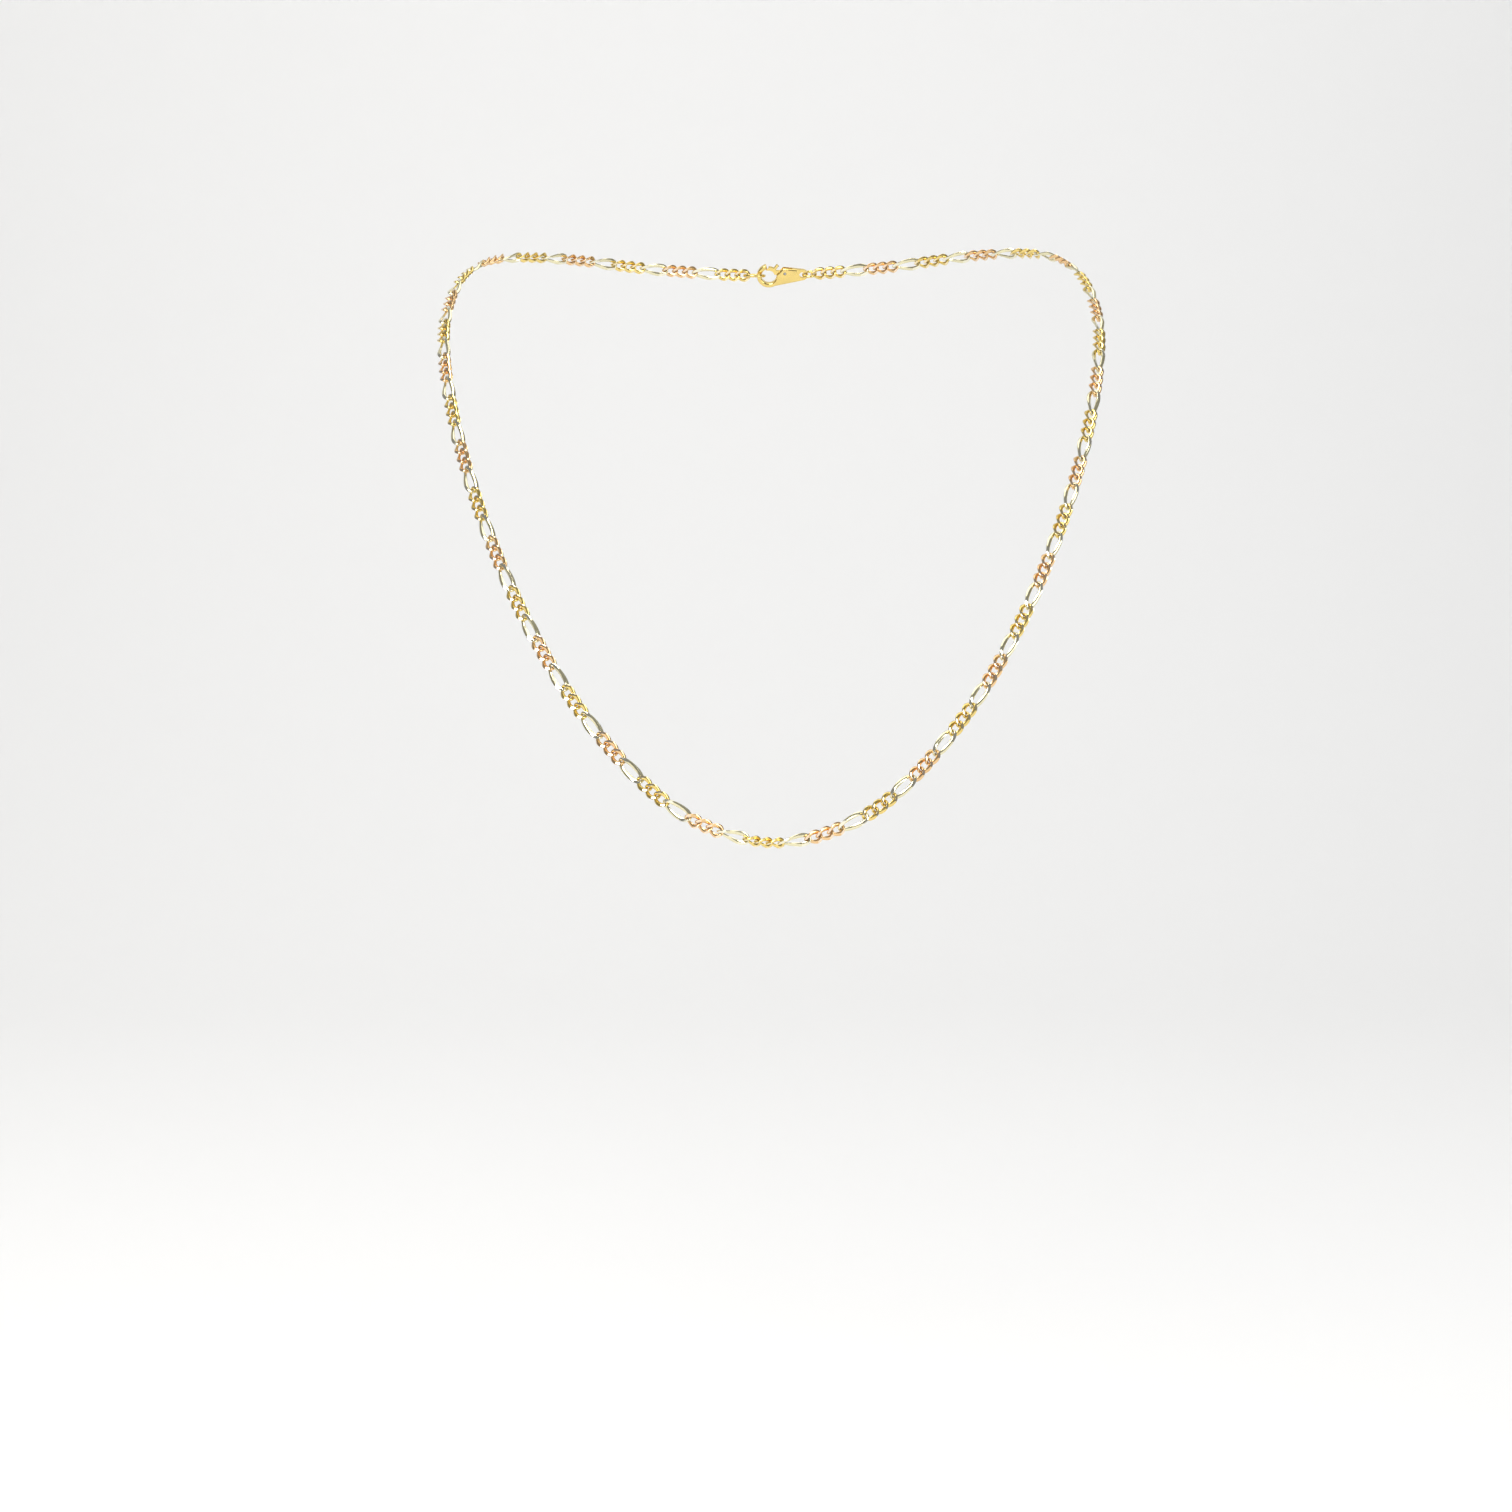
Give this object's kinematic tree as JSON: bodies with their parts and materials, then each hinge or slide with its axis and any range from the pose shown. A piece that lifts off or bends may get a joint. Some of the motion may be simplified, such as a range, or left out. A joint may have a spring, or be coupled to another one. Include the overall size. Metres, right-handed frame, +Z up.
{
  "type": "chain necklace",
  "caption": "Figaro chain necklace in white, yellow and rose gold, shaped as worn, that closes behind the neck with a sprung claw clasp.",
  "frame": {"origin": "on the flat inner side of the claw clasp, where the necklace bears on the nape", "axes": "+Z up, the chest side towards -Y, +X to the wearer's left; the loop is widest along X"},
  "size_m": [0.142, 0.1275, 0.1169],
  "materials": {
    "white_gold": "polished",
    "yellow_gold": "polished",
    "rose_gold": "polished",
    "spring_steel": "ground"
  },
  "bodies": {
    "claw": {"claw_body": "yellow_gold", "lever_pin": "spring_steel", "lever_spring": "spring_steel"},
    "claw_lever": {"claw_lever": "yellow_gold"},
    "clasp_rings": {"claw_ring": "yellow_gold", "catch_ring": "yellow_gold"},
    "unit_20": {"unit_20_left": "yellow_gold", "unit_20_right": "yellow_gold"},
    "unit_19": {"unit_19_left": "rose_gold", "unit_19_right": "rose_gold"},
    "unit_18": {"unit_18_left": "yellow_gold", "unit_18_right": "yellow_gold"},
    "unit_17": {"unit_17_left": "rose_gold", "unit_17_right": "rose_gold"},
    "unit_16": {"unit_16_left": "yellow_gold", "unit_16_right": "yellow_gold"},
    "unit_15": {"unit_15_left": "rose_gold", "unit_15_right": "rose_gold"},
    "unit_14": {"unit_14_left": "yellow_gold", "unit_14_right": "yellow_gold"},
    "unit_13": {"unit_13_left": "rose_gold", "unit_13_right": "rose_gold"},
    "unit_12": {"unit_12_left": "yellow_gold", "unit_12_right": "yellow_gold"},
    "unit_11": {"unit_11_left": "rose_gold", "unit_11_right": "rose_gold"},
    "unit_10": {"unit_10_left": "yellow_gold", "unit_10_right": "yellow_gold"},
    "unit_09": {"unit_09_left": "rose_gold", "unit_09_right": "rose_gold"},
    "unit_08": {"unit_08_left": "yellow_gold", "unit_08_right": "yellow_gold"},
    "unit_07": {"unit_07_left": "rose_gold", "unit_07_right": "rose_gold"},
    "unit_06": {"unit_06_left": "yellow_gold", "unit_06_right": "yellow_gold"},
    "unit_05": {"unit_05_left": "rose_gold", "unit_05_right": "rose_gold"},
    "trio_04": {"trio_04_left": "yellow_gold", "trio_04_right": "yellow_gold"},
    "long_link_04": {"long_link_04_left": "white_gold", "long_link_04_right": "white_gold"},
    "trio_03": {"trio_03_left": "rose_gold", "trio_03_right": "rose_gold"},
    "long_link_03": {"long_link_03_left": "white_gold", "long_link_03_right": "white_gold"},
    "trio_02": {"trio_02_left": "yellow_gold", "trio_02_right": "yellow_gold"},
    "long_link_02": {"long_link_02_left": "white_gold", "long_link_02_right": "white_gold"},
    "trio_01": {"trio_01_left": "rose_gold", "trio_01_right": "rose_gold"},
    "long_link_01": {"long_link_01_left": "white_gold", "long_link_01_right": "white_gold"},
    "trio_bottom": {"trio_bottom": "yellow_gold"}
  },
  "joints": [
    {"name": "claw_lever_pivot", "type": "hinge", "parent": "claw", "child": "claw_lever", "pos_m": [-0.00122, 0.00034, 0.0013], "axis": [-0.0152, -0.9223, -0.3862], "range_deg": [0, 24], "stiffness_Nm_per_rad": 0.0002, "springref_deg": -20.05},
    {"name": "clasp_rings_swing", "type": "hinge", "parent": "claw", "child": "clasp_rings", "pos_m": [-0.00158, 0.00059, 0.00074], "axis": [-0.9994, 0.0254, -0.0214], "range_deg": [0, 10]},
    {"name": "unit_20_swing", "type": "hinge", "parent": "clasp_rings", "child": "unit_20", "pos_m": [-0.00224, 0.00047, 0.00083], "axis": [-0.9997, 0.0203, -0.016], "range_deg": [0, 12]},
    {"name": "unit_19_swing", "type": "hinge", "parent": "unit_20", "child": "unit_19", "pos_m": [-0.00228, -0.00088, 0.00165], "axis": [-0.9997, 0.0221, -0.0109], "range_deg": [0, 12]},
    {"name": "unit_18_swing", "type": "hinge", "parent": "unit_19", "child": "unit_18", "pos_m": [-0.00238, -0.0038, 0.0028], "axis": [-0.9996, 0.0262, -0.0097], "range_deg": [0, 12]},
    {"name": "unit_17_swing", "type": "hinge", "parent": "unit_18", "child": "unit_17", "pos_m": [-0.00252, -0.00843, 0.00424], "axis": [-0.9996, 0.0273, -0.0064], "range_deg": [0, 12]},
    {"name": "unit_16_swing", "type": "hinge", "parent": "unit_17", "child": "unit_16", "pos_m": [-0.00281, -0.01488, 0.005], "axis": [-0.9995, 0.0308, -0.0013], "range_deg": [0, 12]},
    {"name": "unit_15_swing", "type": "hinge", "parent": "unit_16", "child": "unit_15", "pos_m": [-0.00329, -0.0235, 0.00441], "axis": [-0.9994, 0.0336, 0.0061], "range_deg": [0, 12]},
    {"name": "unit_14_swing", "type": "hinge", "parent": "unit_15", "child": "unit_14", "pos_m": [-0.00402, -0.03385, 0.00132], "axis": [-0.9993, 0.0344, 0.0139], "range_deg": [0, 12]},
    {"name": "unit_13_swing", "type": "hinge", "parent": "unit_14", "child": "unit_13", "pos_m": [-0.00456, -0.04443, -0.00401], "axis": [-0.9993, 0.0324, 0.0188], "range_deg": [0, 12]},
    {"name": "unit_12_swing", "type": "hinge", "parent": "unit_13", "child": "unit_12", "pos_m": [-0.00491, -0.05485, -0.01021], "axis": [-0.9993, 0.0318, 0.0197], "range_deg": [0, 12]},
    {"name": "unit_11_swing", "type": "hinge", "parent": "unit_12", "child": "unit_11", "pos_m": [-0.00517, -0.06448, -0.01748], "axis": [-0.9993, 0.0278, 0.0254], "range_deg": [0, 12]},
    {"name": "unit_10_swing", "type": "hinge", "parent": "unit_11", "child": "unit_10", "pos_m": [-0.00533, -0.07291, -0.026], "axis": [-0.9993, 0.026, 0.0283], "range_deg": [0, 12]},
    {"name": "unit_09_swing", "type": "hinge", "parent": "unit_10", "child": "unit_09", "pos_m": [-0.00549, -0.08062, -0.03497], "axis": [-0.9992, 0.0246, 0.0308], "range_deg": [0, 12]},
    {"name": "unit_08_swing", "type": "hinge", "parent": "unit_09", "child": "unit_08", "pos_m": [-0.00562, -0.08772, -0.04423], "axis": [-0.9992, 0.0244, 0.0331], "range_deg": [0, 12]},
    {"name": "unit_07_swing", "type": "hinge", "parent": "unit_08", "child": "unit_07", "pos_m": [-0.00575, -0.09431, -0.05362], "axis": [-0.9991, 0.0239, 0.0359], "range_deg": [0, 12]},
    {"name": "unit_06_swing", "type": "hinge", "parent": "unit_07", "child": "unit_06", "pos_m": [-0.00589, -0.10024, -0.06317], "axis": [-0.9989, 0.0231, 0.0397], "range_deg": [0, 12]},
    {"name": "unit_05_swing", "type": "hinge", "parent": "unit_06", "child": "unit_05", "pos_m": [-0.00605, -0.10571, -0.07261], "axis": [-0.9988, 0.025, 0.0428], "range_deg": [0, 12]},
    {"name": "trio_04_swing", "type": "hinge", "parent": "unit_05", "child": "trio_04", "pos_m": [-0.00627, -0.11088, -0.08172], "axis": [-0.9986, 0.0254, 0.0474], "range_deg": [0, 10]},
    {"name": "long_link_04_swing", "type": "hinge", "parent": "trio_04", "child": "long_link_04", "pos_m": [-0.00639, -0.11343, -0.08675], "axis": [-0.9984, 0.0247, 0.0516], "range_deg": [0, 10]},
    {"name": "trio_03_swing", "type": "hinge", "parent": "long_link_04", "child": "trio_03", "pos_m": [-0.00647, -0.11518, -0.09049], "axis": [-0.9981, 0.0254, 0.0554], "range_deg": [0, 10]},
    {"name": "long_link_03_swing", "type": "hinge", "parent": "trio_03", "child": "long_link_03", "pos_m": [-0.00661, -0.11734, -0.09521], "axis": [-0.9978, 0.0277, 0.0603], "range_deg": [0, 10]},
    {"name": "trio_02_swing", "type": "hinge", "parent": "long_link_03", "child": "trio_02", "pos_m": [-0.00672, -0.11891, -0.09857], "axis": [-0.9974, 0.031, 0.0648], "range_deg": [0, 10]},
    {"name": "long_link_02_swing", "type": "hinge", "parent": "trio_02", "child": "long_link_02", "pos_m": [-0.00696, -0.12078, -0.10252], "axis": [-0.9971, 0.0319, 0.0692], "range_deg": [0, 10]},
    {"name": "trio_01_swing", "type": "hinge", "parent": "long_link_02", "child": "trio_01", "pos_m": [-0.00717, -0.1218, -0.10495], "axis": [-0.9971, 0.0258, 0.0711], "range_deg": [0, 10]},
    {"name": "long_link_01_swing", "type": "hinge", "parent": "trio_01", "child": "long_link_01", "pos_m": [-0.00732, -0.12246, -0.10736], "axis": [-0.9961, 0.0144, 0.0869], "range_deg": [0, 10]},
    {"name": "trio_bottom_swing", "type": "hinge", "parent": "long_link_01", "child": "trio_bottom", "pos_m": [-0.0074, -0.12261, -0.10848], "axis": [-0.9944, 0.008, 0.1056], "range_deg": [0, 8]}
  ]
}
